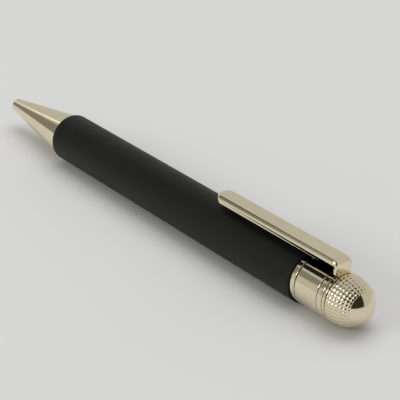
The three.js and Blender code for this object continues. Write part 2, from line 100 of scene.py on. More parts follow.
# ---- Refill and mechanism ----
REFILL_WALL = 0.4 * MM
BARB = 0.12 * MM
SPRING_STEP = 1.75 * MM  # radius of the refill's step that the spring pushes on
SOCKET_DEPTH = 0.85 * MM  # of the ball
POINT_LENGTH = 4.2 * MM  # of the metal point's cone
VENT = 0.4 * MM  # radius of the end plug's hole
GROOVE_DEPTH = 0.15 * MM
PAD_LENGTH = 2.4 * MM  # of the plunger
O_RING_HEIGHT = 0.4 * MM  # height of an O-ring's section, and the depth of its groove
RING_SECTION_STEPS = 24
BALL_STEPS = 24
SPRING_WIRE = 0.15 * MM  # radius of the wire
SPRING_TURNS = 8
SPRING_STEPS = 40  # lengths of wire in a turn
WIRE_SIDES = 12
CAM_WALL = 0.8 * MM
CAM_SLOT_STEPS = 60
SLOT_END_STEPS = 16
STEM_RADIUS = 1.75 * MM  # and half the width across its hexagon

# ---- Dome ----
DOME_POWER = 2.17
STUDS_ROUND = 30
STUD_ROWS = 6
STUD_STEPS = 14  # steps across one stud, round the pen and along it
STUD_HEIGHT = 0.11 * MM
STUD_SHARE = 0.5  # radius of a stud as a share of the spacing
STUD_POWER = 3.0
STUD_CORNER = 1.36  # how far the skin goes on down between four studs, as a share of a stud's radius
STUD_ZONE = (0.32 * MM, 5.35 * MM)  # from the dome's front
DOME_RINGS = 40
DOME_SAMPLES = 2000  # to measure the length of its curve

# ---- How finely round pieces are cut ----
SKIN_STEPS = 192
INNER_STEPS = 96
BORE_STEPS = 48
CORNER_STEPS = 5
HOLD = 1.7  # how far from a corner its face is kept flat, as a multiple of the rounding's reach

behaviour = frame["record"]["behaviour"]
joints = {joint["name"]: joint for joint in behaviour["joints"]}
TRAVEL = joints["refill_slide"]["range_m"][1]
TWIST = math.radians(joints["cap_twist"]["range_deg"][1])
SLOT_OF = {row["node"]: row["material_slot"] for row in frame["record"]["subparts"]}
BODY_OF = {node: body for body, members in behaviour["bodies"].items() for node in members}


class Place:
    """Where a CAD node lies along the pen, and its outer radius."""

    def __init__(self, node):
        low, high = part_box(node)
        self.front = low.x
        self.end = high.x
        self.middle = (low.x + high.x) / 2
        self.radius = (high.y - low.y) / 2
        self.low = low
        self.high = high


barrel = Place("barrel_tube")
AXIS = (barrel.low.z + barrel.high.z) / 2
JOINT = barrel.front - FACE_GAP  # where nose and barrel meet
pin = Place("cam_pin")
PIN_MIDDLE = pin.middle
PIN_HALF_LENGTH = pin.radius  # it lies across the pen
PIN_RADIUS = (pin.high.z - pin.low.z) / 2
HOUSING_SKIN = Place("drag_ring").radius - FIT
HOUSING_BORE = Place("refill_tube").radius + RUN
HOUSING_THREAD = (barrel.end - 3.4 * MM, barrel.end - 0.6 * MM)


# ---- Materials ----


class Shader:
    """A node material with one Principled shader and object coordinates in metres."""

    def __init__(self, name, **values):
        self.material = bpy.data.materials.new(name)
        self.material.use_nodes = True
        self.tree = self.material.node_tree
        self.tree.nodes.clear()
        self.shader = self.tree.nodes.new("ShaderNodeBsdfPrincipled")
        self.link(self.shader.outputs[0], self.tree.nodes.new("ShaderNodeOutputMaterial"), "Surface")
        self.place = self.tree.nodes.new("ShaderNodeTexCoord").outputs["Object"]
        self.set(self.shader, values)

    def set(self, node, values):
        for socket, value in values.items():
            node.inputs[socket.replace("_", " ")].default_value = value

    def link(self, output, node, socket):
        self.tree.links.new(output, node.inputs[socket])

    def fed(self, kind, output, socket, **values):
        """A new node with some inputs set, and an output of another node linked to one of them."""
        node = self.tree.nodes.new("ShaderNode" + kind)
        self.set(node, values)
        self.link(output, node, socket)
        return node

    def stretched(self, scale):
        """Object coordinates with their own scale on each axis."""
        return self.fed("Mapping", self.place, "Vector", Scale=scale).outputs[0]

    def noise(self, scale, detail=3.0, roughness=0.5, place=None, distortion=0.0):
        values = {"Scale": scale, "Detail": detail, "Roughness": roughness, "Distortion": distortion}
        return self.fed("TexNoise", place or self.place, "Vector", **values).outputs["Fac"]

    def cells(self, scale):
        return self.fed("TexVoronoi", self.place, "Vector", Scale=scale).outputs["Distance"]

    def remap(self, value, low, high, from_low=0.3, from_high=0.7):
        values = {"From_Min": from_low, "From_Max": from_high, "To_Min": low, "To_Max": high}
        return self.fed("MapRange", value, "Value", **values).outputs[0]

    def color(self, value, *stops):
        """Colours the piece by a value, between two colours that each come with their value."""
        node = self.fed("ValToRGB", value, "Fac")
        for element, (position, color) in zip(node.color_ramp.elements, stops):
            element.position, element.color = position, (*color, 1)
        self.link(node.outputs["Color"], self.shader, "Base Color")

    def shades(self, value, color, spread, low=0.3, high=0.7):
        """Colours the piece by a value, from a darker to a lighter shade of one colour."""
        dark, light = (tuple(min(1.0, c * k) for c in color) for k in (1 - spread, 1 + spread))
        self.color(value, (low, dark), (high, light))

    def sum(self, one, other, share=1.0):
        """One value plus a share of another."""
        node = self.fed("Math", other, 0)
        node.operation = "MULTIPLY_ADD"
        node.inputs[1].default_value = share
        self.link(one, node, 2)
        return node.outputs[0]

    def roughness(self, output):
        self.link(output, self.shader, "Roughness")

    def bump(self, height, strength, distance):
        node = self.fed("Bump", height, "Height", Strength=strength, Distance=distance)
        self.link(node.outputs[0], self.shader, "Normal")


def gold():
    """Polished pale gold plating: nearly a mirror, with faint handling marks and hairline scratches."""
    s = Shader("polished_pale_gold", Metallic=1.0)
    clouds = s.noise(260, detail=4)
    s.shades(clouds, (0.84, 0.757, 0.553), 0.018, 0.35, 0.65)
    marks = s.noise(900, detail=5, roughness=0.62, distortion=0.6)
    hairlines = s.noise(1, detail=4, place=s.stretched((1200, 26000, 26000)))
    worn = s.sum(s.remap(marks, 0.055, 0.11), s.remap(hairlines, 0.0, 1.0, 0.62, 0.8), 0.06)
    s.roughness(worn)
    s.bump(s.sum(hairlines, s.noise(420, detail=2), 1.5), 0.02, 0.02 * MM)
    return s.material


def soft_black():
    """Soft-touch black lacquer: matt, with a fine grain and a trace of handling."""
    sheen = {"Sheen_Weight": 0.02, "Sheen_Roughness": 0.45, "Sheen_Tint": (0.85, 0.87, 0.9, 1)}
    s = Shader("soft_touch_black", Specular_IOR_Level=0.22, **sheen)
    handled = s.noise(110, detail=5, roughness=0.55)
    s.color(handled, (0.3, (0.0040, 0.0040, 0.0037)), (0.7, (0.0058, 0.0057, 0.0053)))
    grain = s.noise(14000, detail=2, roughness=0.6)
    s.roughness(s.sum(s.remap(handled, 0.47, 0.56), s.remap(grain, -0.03, 0.03)))
    s.bump(s.sum(grain, s.noise(5200, detail=3), 0.7), 0.28, 0.02 * MM)
    return s.material


def turned_metal(name, color, rough=(0.2, 0.32), spread=0.05):
    """Bare metal off a lathe: fine rings round the pen, and a little tarnish."""
    s = Shader(name, Metallic=1.0)
    tarnish = s.noise(420, detail=5, roughness=0.6)
    s.shades(tarnish, color, spread, 0.32, 0.68)
    rings = s.noise(1, detail=3, place=s.stretched((16000, 160, 160)))
    s.roughness(s.remap(s.sum(rings, tarnish, 0.4), *rough, 0.5, 0.9))
    s.bump(s.sum(rings, tarnish, 0.2), 0.12, 0.015 * MM)
    return s.material


def drawn_steel():
    """Bright drawn steel: lengthwise draw lines and a slightly uneven shine."""
    s = Shader("drawn_steel", Metallic=1.0)
    patches = s.noise(500, detail=4)
    s.color(patches, (0.3, (0.47, 0.48, 0.50)), (0.7, (0.56, 0.57, 0.59)))
    lines = s.noise(1, detail=4, place=s.stretched((700, 15000, 15000)))
    s.roughness(s.remap(s.sum(lines, patches, 0.5), 0.18, 0.34, 0.5, 1.0))
    s.bump(lines, 0.12, 0.012 * MM)
    return s.material


def moulded(name, color, rough, spread=0.03, subsurface=0.0):
    """Moulded plastic: a fine eroded mould texture, with cloudy pigment."""
    depth = {"Subsurface_Radius": (1.0, 0.9, 0.8), "Subsurface_Scale": 0.4 * MM}
    s = Shader(name, Subsurface_Weight=subsurface, **depth)
    s.shades(s.noise(700, detail=4), color, spread)
    erosion = s.cells(9000)
    s.roughness(s.remap(s.noise(2600, detail=3), rough - 0.06, rough + 0.06))
    s.bump(s.sum(erosion, s.noise(6000), 0.6), 0.15, 0.015 * MM)
    return s.material


def rubber():
    """Nitrile rubber: dull, with a dusting of talc in the low spots."""
    s = Shader("nitrile_rubber", Specular_IOR_Level=0.3)
    dust = s.noise(2600, detail=5, roughness=0.65)
    s.color(dust, (0.45, (0.012, 0.012, 0.012)), (0.75, (0.05, 0.05, 0.048)))
    s.roughness(s.remap(dust, 0.68, 0.9))
    s.bump(s.noise(9000, detail=3), 0.3, 0.02 * MM)
    return s.material


def inked_fibre():
    """Bonded fibre soaked with dark ink: strands along the pen, damp in patches."""
    s = Shader("inked_fibre")
    strands = s.noise(1, detail=4, place=s.stretched((900, 16000, 16000)))
    damp = s.noise(900, detail=3)
    s.color(s.sum(strands, damp, 0.5), (0.55, (0.012, 0.014, 0.05)), (0.95, (0.06, 0.07, 0.16)))
    s.roughness(s.remap(damp, 0.45, 0.9))
    s.bump(strands, 0.5, 0.04 * MM)
    return s.material


LOOKS = {
    "gold": gold(),
    "black": soft_black(),
    "brass": turned_metal("machined_brass", (0.66, 0.47, 0.17)),
    "steel": drawn_steel(),
    "nickel": turned_metal("turned_nickel_silver", (0.60, 0.58, 0.51), (0.14, 0.26), 0.03),
    "white_plastic": moulded("natural_white_plastic", (0.74, 0.73, 0.68), 0.42, subsurface=0.2),
    "grey_plastic": moulded("grey_acetal", (0.16, 0.165, 0.175), 0.36),
    "rubber": rubber(),
    "fibre": inked_fibre(),
}


# ---- Mesh helpers ----


def placed(name, data):
    """A new object in the scene."""
    thing = bpy.data.objects.new(name, data)
    bpy.context.scene.collection.objects.link(thing)
    return thing


def new_object(name, vertices, faces):
    mesh = bpy.data.meshes.new(name)
    mesh.from_pydata(vertices, [], faces)
    mesh.validate()
    return placed(name, mesh)


def stand_for(piece, node):
    """Gives a finished piece its material, its body and the CAD node that it stands for."""
    slot = SLOT_OF[node]
    piece.data.materials.clear()
    piece.data.materials.append(LOOKS[slot])
    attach(piece, BODY_OF[node])
    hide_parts(node)


@contextmanager
def editing(piece):
    """The piece's mesh as an editable one, written back at the end."""
    work = bmesh.new()
    work.from_mesh(piece.data)
    yield work
    work.to_mesh(piece.data)
    work.free()


def apply_modifiers(piece):
    bpy.context.view_layer.update()
    graph = bpy.context.evaluated_depsgraph_get()
    piece.data = bpy.data.meshes.new_from_object(piece.evaluated_get(graph))
    piece.modifiers.clear()


def smooth(piece, sharp_above=40):
    piece.data.shade_smooth()
    piece.data.set_sharp_from_angle(angle=math.radians(sharp_above))
    return piece


def rounded(outline, closed):
    """An outline of (station, radius, rounding) points as plain points, with each corner rounded."""
    points = []
    count = len(outline)
    for i, (x, r, rounding) in enumerate(outline):
        here = Vector((x, r))
        inside = closed or 0 < i < count - 1
        if not rounding or not inside:
            points.append(here)
            continue
        before = Vector(outline[i - 1][:2])
        after = Vector(outline[(i + 1) % count][:2])
        back, ahead = before - here, after - here
        turn = math.pi - back.angle(ahead)
        reach = rounding * math.tan(turn / 2)
        start = back.normalized() * min(reach, 0.49 * back.length)
        end = ahead.normalized() * min(reach, 0.49 * ahead.length)
        if back.length > 2 * HOLD * start.length:
            points.append(here + HOLD * start)
        for step in range(CORNER_STEPS + 1):
            t = step / CORNER_STEPS
            points.append(here + (1 - t) ** 2 * start + t**2 * end)
        if ahead.length > 2 * HOLD * end.length:
            points.append(here + HOLD * end)
    return points


def turned(name, outline, steps=INNER_STEPS, relief=None):
    """A piece turned about the pen's axis. The outline goes out along the skin towards the dome and back
    along the bore, and its first point is on the axis if the piece is solid. A relief function of station,
    radius and angle raises or sinks the skin."""
    closed = outline[0][1] > 0
    vertices, faces, rings = [], [], []
    for x, r in rounded([(*p, 0)[:3] for p in outline], closed):
        start = len(vertices)
        if r <= 0:
            vertices.append((x, 0, AXIS))
            rings.append([start])
            continue
        for step in range(steps):
            angle = 2 * math.pi * step / steps
            radius = r + (relief(x, r, angle) if relief else 0)
            vertices.append((x, radius * math.sin(angle), AXIS + radius * math.cos(angle)))
        rings.append(range(start, start + steps))
    pairs = list(zip(rings, rings[1:]))
    if closed:
        pairs.append((rings[-1], rings[0]))
    for one, other in pairs:
        for step in range(steps):
            ahead = (step + 1) % steps
            corners = [one[step % len(one)], other[step % len(other)]]
            corners += [other[ahead % len(other)], one[ahead % len(one)]]
            face = list(dict.fromkeys(corners))
            if len(face) > 2:
                faces.append(face)
    return smooth(new_object(name, vertices, faces))


def lathed(node, finish, outline, steps=INNER_STEPS, relief=None):
    """A turned piece that stands for its CAD node as it comes off the lathe."""
    stand_for(turned(f"{node}_{finish}", outline, steps, relief), node)


def ring(node, finish, bore, edge=SKIN_EDGE, steps=SKIN_STEPS, details=()):
    """A ring in its node's place, with details on the skin between its two rounded edges."""
    place = Place(node)
    outline = [(place.front, bore, edge), (place.front, place.radius, edge), *details]
    outline += [(place.end, place.radius, edge), (place.end, bore, edge)]
    return turned(f"{node}_{finish}", outline, steps)


def rod_outline(front, end, radius, edge):
    return [(front, 0), (front, radius, edge), (end, radius, edge), (end, 0)]


def groove(middle, half_top, half_floor, radius, depth, edge=FINE_EDGE):
    """Points of a groove with sloping sides, which is V-shaped if its floor has no width."""
    floor = sorted({middle - half_floor, middle + half_floor})
    points = [(middle - half_top, radius, edge), *((x, radius - depth, edge) for x in floor)]
    return [*points, (middle + half_top, radius, edge)]


def seal_groove(seal, radius):
    """Points of the square groove that an O-ring lies in."""
    front, end, floor = seal.front - FIT, seal.end + FIT, radius - O_RING_HEIGHT
    corners = ((front, radius), (front, floor), (end, floor), (end, radius))
    return [(*corner, FINE_EDGE) for corner in corners]


def thread_rings(front, end, radius, pitch):
    """Points along a stretch of thread, close enough for its relief."""
    count = max(2, round((end - front) / pitch * RINGS_PER_THREAD))
    return [(front + (end - front) * step / count, radius) for step in range(count + 1)]


def screw_thread(front, end, radius, pitch, depth):
    """Relief of a right-handed thread on one skin radius, which runs out over a pitch at each end.
    The same function on a bore and on the screw in it makes two threads that mesh."""

    def relief(x, r, angle):
        if abs(r - radius) > FINE_EDGE / 10 or not front <= x <= end:
            return 0
        share = (x / pitch + angle / (2 * math.pi)) % 1
        fade = min(1, (x - front) / pitch, (end - x) / pitch)
        return -depth * min(1, 1.25 * (1 - abs(2 * share - 1))) * fade

    return relief


def knurl(front, end, radius, count=KNURL_COUNT):
    """Relief of straight knurling, which holds a pressed piece."""

    def relief(x, r, angle):
        if abs(r - radius) > FINE_EDGE / 10 or not front <= x <= end:
            return 0
        return -KNURL_DEPTH * (0.5 + 0.5 * math.cos(count * angle))

    return relief


def knurled_skin(front, end, radius):
    """The points of a knurled stretch, and its relief."""
    points = [(front, radius), (front + KNURL_RUN, radius), (end - KNURL_RUN, radius), (end, radius)]
    return points, knurl(front + KNURL_RUN / 2, end - KNURL_RUN / 2, radius)


def between(value, known, wanted):
    """The value that goes with a known one, from two rising lists."""
    k = min(max(bisect.bisect_left(known, value), 1), len(known) - 1)
    part = (value - known[k - 1]) / (known[k] - known[k - 1])
    return wanted[k - 1] + (wanted[k] - wanted[k - 1]) * part


def both(*reliefs):
    return lambda x, r, angle: sum(relief(x, r, angle) for relief in reliefs)


def slab(low, high):
    """A box between two corners, for cutting with."""
    corners = [(x, y, z) for x in (low[0], high[0]) for y in (low[1], high[1]) for z in (low[2], high[2])]
    sides = [(0, 1, 3, 2), (4, 6, 7, 5), (0, 4, 5, 1), (2, 3, 7, 6), (0, 2, 6, 4), (1, 5, 7, 3)]
    return new_object("cutter", corners, sides)


def bar(name, sections, vertices):
    """A closed bar through equal sections, given by their vertices one section after another."""
    sides = len(vertices) // sections
    last = sides * (sections - 1)
    faces = []
    for start in range(0, last, sides):
        for side in range(sides):
            here, beside = start + side, start + (side + 1) % sides
            faces.append((here, beside, beside + sides, here + sides))
    faces += [tuple(range(sides)), tuple(range(last, last + sides))]
    piece = new_object(name, vertices, faces)
    with editing(piece) as work:
        bmesh.ops.recalc_face_normals(work, faces=work.faces)
    return piece


def prism(front, end, radius, sides):
    """A straight bar with flat sides along the pen, for cutting or joining."""
    spread = radius / math.cos(math.pi / sides)
    vertices = [
        (x, spread * math.sin(a), AXIS + spread * math.cos(a))
        for x in (front, end)
        for a in (math.pi * (2 * k + 1) / sides for k in range(sides))
    ]
    return bar("bar", 2, vertices)


def combined(piece, tool, operation="DIFFERENCE"):
    """The piece with the tool cut out of it or joined to it. The tool is used up."""
    step = piece.modifiers.new("combine", "BOOLEAN")
    step.operation = operation
    step.solver = "EXACT"
    step.object = tool
    apply_modifiers(piece)
    bpy.data.objects.remove(tool)
    return smooth(piece, 30)


# ---- Outside ----


def nose_cone():
    """A straight polished cone with a blunt mouth. Its neck is threaded and carries the O-ring."""
    place, seal, tip = Place("nose_cone"), Place("nose_seal"), Place("refill_tip")
    neck = seal.radius - FIT
    bore = neck - NECK_WALL
    mouth = tip.radius + RUN + FIT
    seat = Place("return_spring").front - FACE_GAP
    thread = (JOINT + 0.7 * MM, seal.front - 0.45 * MM)
    outline = [
        (place.front, mouth, 0.12 * MM),
        (place.front, MOUTH_RADIUS, SOFT_EDGE),
        (JOINT, place.radius, SKIN_EDGE),
        (JOINT, neck),
        *thread_rings(*thread, neck, THREAD_PITCH),
        *seal_groove(seal, neck),
        (place.end, neck, 2 * FINE_EDGE),
        (place.end, bore, FINE_EDGE),
        (place.front + TAPER_END, bore, SOFT_EDGE),
        (Place("refill_nose").front - TRAVEL + TAPER_START, CHAMBER_RADIUS, SOFT_EDGE),
        (seat, CHAMBER_RADIUS, FINE_EDGE),
        (seat, mouth, FINE_EDGE),
    ]
    relief = screw_thread(*thread, neck, THREAD_PITCH, THREAD_DEPTH)
    lathed("nose_cone", "polished", outline, SKIN_STEPS, relief)


def barrel_tube():
    """The lacquered tube, with softly rounded ends."""
    bore = Place("front_bush").radius + FIT
    outline = [
        (barrel.front, bore, FINE_EDGE),
        (barrel.front, barrel.radius, SOFT_EDGE),
        (barrel.end, barrel.radius, SOFT_EDGE),
        (barrel.end, bore, FINE_EDGE),
    ]
    lathed("barrel_tube", "lacquered", outline, SKIN_STEPS)


def end_rings():
    """The rings between barrel and dome. The narrow one has a fine line turned near its tail edge, and the
    clip's tongue passes through the last."""
    spigot = Place("mechanism_housing").radius - 0.45 * MM
    stand_for(ring("trim_ring", "polished", spigot), "trim_ring")
    core = Place("cap_carrier").radius
    stand_for(ring("cap_band", "polished", core + FIT), "cap_band")
    neck = core - 0.5 * MM
    decor = Place("decor_ring")
    depth = 0.1 * MM
    line = groove(decor.end - 0.42 * MM, depth, 0, decor.radius, depth, FINE_EDGE / 2)
    stand_for(ring("decor_ring", "polished", neck, details=line), "decor_ring")
    stand_for(combined(ring("clip_collar", "polished", neck), tongue_slot()), "clip_collar")


def tongue_slot():
    """A cutter for the slot that holds the clip's tongue."""
    clip = Place("pocket_clip")
    half = TONGUE_HALF + LOOSE
    low = clip.low.z - LOOSE
    front = Place("clip_collar").front - LOOSE
    return slab((front, -half, low), (front + 3 * MM, half, AXIS + barrel.radius))


def dome():
    """The end button: round studs in a square pattern, shrinking towards a smooth polished end."""
    place = Place("knurled_dome")
    length = place.end - place.front - SKIN_EDGE
    turn = 2 * math.pi / STUDS_ROUND

    def radius_at(share):
        return place.radius * max(0, 1 - share**DOME_POWER) ** 0.5

    # The stations of the studded zone, each with how many stud rows lie before it. A row is as long as a
    # stud is wide, so the rows get shorter as the dome gets thinner, scaled to a whole number of rows.
    first, last = ((x - SKIN_EDGE) / length for x in STUD_ZONE)
    rows = [0.0]
    stations = [first]
    for k in range(DOME_SAMPLES):
        share, ahead = (first + (last - first) * j / DOME_SAMPLES for j in (k, k + 1))
        arc = math.hypot((ahead - share) * length, radius_at(ahead) - radius_at(share))
        rows.append(rows[-1] + arc / (radius_at(share) * turn))
        stations.append(ahead)
    scale = STUD_ROWS / rows[-1]
    rows = [row * scale for row in rows]

    def skin(share):
        return place.front + SKIN_EDGE + length * share, radius_at(share)

    outline = [(place.front, 0), (place.front, place.radius - SKIN_EDGE), skin(0)]
    for k in range(STUD_ROWS * STUD_STEPS + 1):
        outline.append(skin(between(k / STUD_STEPS, rows, stations)))
    for k in range(1, DOME_RINGS + 1):
        angle = math.asin(last) + (math.pi / 2 - math.asin(last)) * k / DOME_RINGS
        outline.append(skin(math.sin(angle)))
    outline[-1] = (place.end, 0)

    def studs(x, r, angle):
        share = (x - place.front - SKIN_EDGE) / length
        if not first < share < last:
            return 0
        row = between(share, stations, rows)
        across = (angle / turn) % 1 - 0.5
        along = row % 1 - 0.5
        reach = min(STUD_CORNER, math.hypot(across, along) / STUD_SHARE)
        edge = min(1, 5 * row, 5 * (STUD_ROWS - row))
        return -STUD_HEIGHT * edge * reach**STUD_POWER

    piece = turned("studded_dome", outline, STUDS_ROUND * STUD_STEPS, studs)
    stud = Place("dome_stud")
    socket = rod_outline(place.front - MM, stud.end + FIT, stud.radius + FIT, FINE_EDGE)
    piece = combined(piece, turned("cutter", socket, BORE_STEPS))
    stand_for(smooth(piece, 80), "knurled_dome")


def pocket_clip():
    """The clip: its CAD solid with the folded edges well rounded, less so down the tail plate, and every
    other edge slightly."""
    place = Place("pocket_clip")
    piece = placed("pocket_clip_polished", frame["nodes"]["pocket_clip"].data.copy())
    with editing(piece) as work:
        bmesh.ops.remove_doubles(work, verts=work.verts, dist=CLIP_WELD)
        bmesh.ops.dissolve_limit(work, angle_limit=math.radians(0.5), verts=work.verts, edges=work.edges)
        work.normal_update()
        weights = work.edges.layers.float.new("bevel_weight_edge")
        for edge in filter(folded(place), work.edges):
            above = min(vertex.co.z for vertex in edge.verts) - place.high.z + CLIP_BEND
            up = min(1, max(0, above / (CLIP_BEND - CLIP_EASE) - CLIP_EASE / CLIP_BEND))
            edge[weights] = CLIP_TAIL_SHARE + (1 - CLIP_TAIL_SHARE) * up

    edges = piece.modifiers.new("folded_edges", "BEVEL")
    edges.limit_method = "WEIGHT"
    edges.width = CLIP_EDGE
    edges.segments = CLIP_EDGE_STEPS
    edges.use_clamp_overlap = False
    apply_modifiers(piece)

    with editing(piece) as work:
        bmesh.ops.bevel(
            work, geom=list(filter(still_sharp(place), work.edges)), offset=CLIP_INNER_EDGE,
            offset_type="OFFSET", segments=3, profile=0.5, affect="EDGES", clamp_overlap=True,
        )
        bmesh.ops.recalc_face_normals(work, faces=work.faces)
    smooth(piece, 50)
    flat = piece.modifiers.new("flat_faces", "WEIGHTED_NORMAL")
    flat.keep_sharp = True
    flat.weight = 80
    stand_for(piece, "pocket_clip")


def folded(clip):
    """A test for the edges where the strip is folded: between a face that looks out and a side wall."""

    def looks_out(face):
        on_tail = face.normal.x > 0.3 and face.calc_center_median().x > clip.end - CLIP_BEND
        return abs(face.normal.y) < SQUARE and (face.normal.z > 0.3 or on_tail)

    def is_wall(face):
        return abs(face.normal.z) < SQUARE and face.normal.x < 0.1

    def test(edge):
        if len(edge.link_faces) != 2 or edge.calc_face_angle_signed(0) < FOLD_ANGLE:
            return False
        one, other = edge.link_faces
        return (looks_out(one) and is_wall(other)) or (looks_out(other) and is_wall(one))

    return test


def still_sharp(clip):
    """A test for the sharp edges, but for those at the notch, which is too small to be rounded."""

    def test(edge):
        middle = (edge.verts[0].co + edge.verts[1].co) / 2
        at_notch = middle.x > clip.end - 2 * CLIP_BEND and abs(middle.z - CLIP_NOTCH_TOP) < CLIP_NOTCH_REACH
        return not at_notch and len(edge.link_faces) == 2 and edge.calc_face_angle(0) > SHARP_ANGLE

    return test


# ---- Refill ----


def o_ring(name, node):
    """A rubber ring with a rounded section, slightly flattened in its groove."""
    place = Place(node)
    half_length = (place.end - place.front) / 2
    half_height = O_RING_HEIGHT / 2
    outline = []
    for step in range(RING_SECTION_STEPS):
        angle = 2 * math.pi * step / RING_SECTION_STEPS
        x = place.middle - half_length * math.cos(angle)
        outline.append((x, place.radius - half_height + half_height * math.sin(angle)))
    stand_for(turned(name, outline), node)


def writing_ball():
    place = Place("writing_ball")
    radius = (place.end - place.front) / 2
    outline = [(place.front, 0)]
    for step in range(1, BALL_STEPS):
        angle = math.pi * step / BALL_STEPS
        outline.append((place.middle - radius * math.cos(angle), radius * math.sin(angle)))
    outline.append((place.end, 0))
    lathed("writing_ball", "polished", outline, BALL_STEPS * 2)


def refill_tip():
    """The turned point: a crimped rim round the ball, a cone, and a shank with a fine groove."""
    place, bead, feed = Place("refill_tip"), Place("writing_ball"), Place("ink_feed")
    socket = bead.radius + FIT
    throat = bead.radius / 2
    socket_end = bead.front + SOCKET_DEPTH
    cone_end = bead.front + POINT_LENGTH
    feed_bore = feed.radius + FIT
    outline = [
        (place.front, socket, 0.01 * MM),
        (place.front, socket + 0.06 * MM, 0.02 * MM),
        (cone_end - 0.5 * MM, place.radius - 0.12 * MM, FINE_EDGE),
        (cone_end, place.radius, FINE_EDGE),
        *groove(cone_end + 1.4 * MM, 0.2 * MM, 0.1 * MM, place.radius, 0.08 * MM, FINE_EDGE / 2),
        (place.end, place.radius, FINE_EDGE),
        (place.end, feed_bore, FINE_EDGE / 2),
        (feed.front - FIT, feed_bore, FINE_EDGE / 2),
        (feed.front - FIT, throat),
        (socket_end, throat),
        (socket_end - 0.2 * MM, socket),
    ]
    lathed("refill_tip", "turned", outline)


def refill_nose():
    """The tapered plastic front of the refill: a step for the spring, and a barbed spigot in the tube."""
    place, tip, tube = Place("refill_nose"), Place("refill_tip"), Place("refill_tube")
    bore = Place("ink_feed").radius + FIT
    seat = Place("return_spring").end + FACE_GAP
    taper_end = tube.front - FACE_GAP
    spigot = tube.radius - REFILL_WALL - FIT
    barbs = []
    for k in range(3):
        front = taper_end + (0.5 + 0.8 * k) * MM
        barbs += [(front, spigot - BARB, 0), (front + 0.5 * MM, spigot, 0)]
    outline = [
        (place.front, bore, FINE_EDGE),
        (place.front, tip.radius, FINE_EDGE),
        (seat, tip.radius, FINE_EDGE),
        (seat, SPRING_STEP, FINE_EDGE),
        (seat + 0.6 * MM, SPRING_STEP, SOFT_EDGE),
        (taper_end - 0.6 * MM, place.radius, SOFT_EDGE),
        (taper_end, place.radius, FINE_EDGE),
        (taper_end, spigot - BARB, FINE_EDGE),
        *barbs,
        (place.end - 0.1 * MM, spigot - BARB, FINE_EDGE),
        (place.end, spigot - BARB - 0.1 * MM, FINE_EDGE),
        (place.end, bore, FINE_EDGE),
    ]
    lathed("refill_nose", "moulded", outline)


def refill_tube():
    """Drawn tube, rolled down a little over the spigots at its ends."""
    place = Place("refill_tube")
    crimps = []
    for middle in (place.front + 1.5 * MM, place.end - 1.5 * MM):
        crimps += groove(middle, 0.4 * MM, 0, place.radius, 0.12 * MM, SOFT_EDGE)
    tube = ring("refill_tube", "drawn", place.radius - REFILL_WALL, 2 * FINE_EDGE, INNER_STEPS, crimps)
    stand_for(tube, "refill_tube")


def refill_plug():
    """The vented end plug: a barbed spigot and a head with a chamfer and a turned groove."""
    place, tube = Place("refill_plug"), Place("refill_tube")
    head = tube.end + FACE_GAP
    spigot = tube.radius - REFILL_WALL - FIT
    outline = [
        (place.front, VENT, FINE_EDGE),
        (place.front, spigot - 0.2 * MM, FINE_EDGE),
        (place.front + 0.7 * MM, spigot, FINE_EDGE),
        (place.front + 0.9 * MM, spigot - BARB, 0),
        (place.front + 1.6 * MM, spigot, FINE_EDGE),
        (head, spigot, 0),
        (head, place.radius, FINE_EDGE),
        *groove((head + place.end) / 2, 0.3 * MM, 0.2 * MM, place.radius, GROOVE_DEPTH),
        (place.end, place.radius, SOFT_EDGE),
        (place.end, VENT + 0.15 * MM, FINE_EDGE),
        (place.end - 0.2 * MM, VENT, FINE_EDGE),
    ]
    lathed("refill_plug", "moulded", outline)


def ink_feed():
    """The fibre rod that leads the ink to the ball, with a blunt point."""
    place = Place("ink_feed")
    outline = [
        (place.front, 0),
        (place.front, 0.5 * place.radius, 2 * FINE_EDGE),
        (place.front + 0.5 * MM, place.radius, 2 * FINE_EDGE),
        (place.end, place.radius, FINE_EDGE),
        (place.end, 0),
    ]
    lathed("ink_feed", "fibre", outline, 32, bundle(place.radius))


def ink_reservoir():
    """The fibre bundle that holds the ink, with the feed's hole in its front."""
    place, feed = Place("ink_reservoir"), Place("ink_feed")
    bore = feed.radius + FIT
    outline = [
        (place.front, bore, FINE_EDGE),
        (place.front, place.radius, 3 * FINE_EDGE),
        (place.end, place.radius, 3 * FINE_EDGE),
        (place.end, 0),
        (feed.end + FIT, 0),
        (feed.end + FIT, bore, FINE_EDGE),
    ]
    lathed("ink_reservoir", "fibre", outline, INNER_STEPS, bundle(place.radius))


def bundle(radius):
    """Relief of a fibre bundle: shallow lengthwise furrows of uneven depth."""

    def relief(x, r, angle):
        furrow = 0.6 + 0.25 * math.cos(11 * angle) + 0.15 * math.cos(29 * angle + 1)
        return -0.02 * radius * furrow if r > 0.99 * radius else 0

    return relief


def return_spring():
    """A coil of round wire whose end turns lie flat, between the seat in the nose and the refill's step."""
    place = Place("return_spring")
    front = place.front + SPRING_WIRE
    end = place.end - SPRING_WIRE
    flat = 2.1 * SPRING_WIRE
    radius = place.radius - SPRING_WIRE
    stations = [front, front + flat, end - flat, end]
    turns = [0, 1, SPRING_TURNS - 1, SPRING_TURNS]
    vertices = []
    steps = SPRING_TURNS * SPRING_STEPS
    for step in range(steps + 1):
        turn = step / SPRING_STEPS
        x = between(turn, turns, stations)
        angle = 2 * math.pi * turn
        out = Vector((0, math.cos(angle), math.sin(angle)))
        for side in range(WIRE_SIDES):
            round_wire = 2 * math.pi * side / WIRE_SIDES
            point = out * (radius + SPRING_WIRE * math.cos(round_wire))
            vertices.append((x + SPRING_WIRE * math.sin(round_wire), point.y, AXIS + point.z))
    spring = bar("return_spring_wound", steps + 1, vertices)
    stand_for(smooth(spring, 60), "return_spring")
    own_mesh(spring)


# ---- Inside the barrel ----


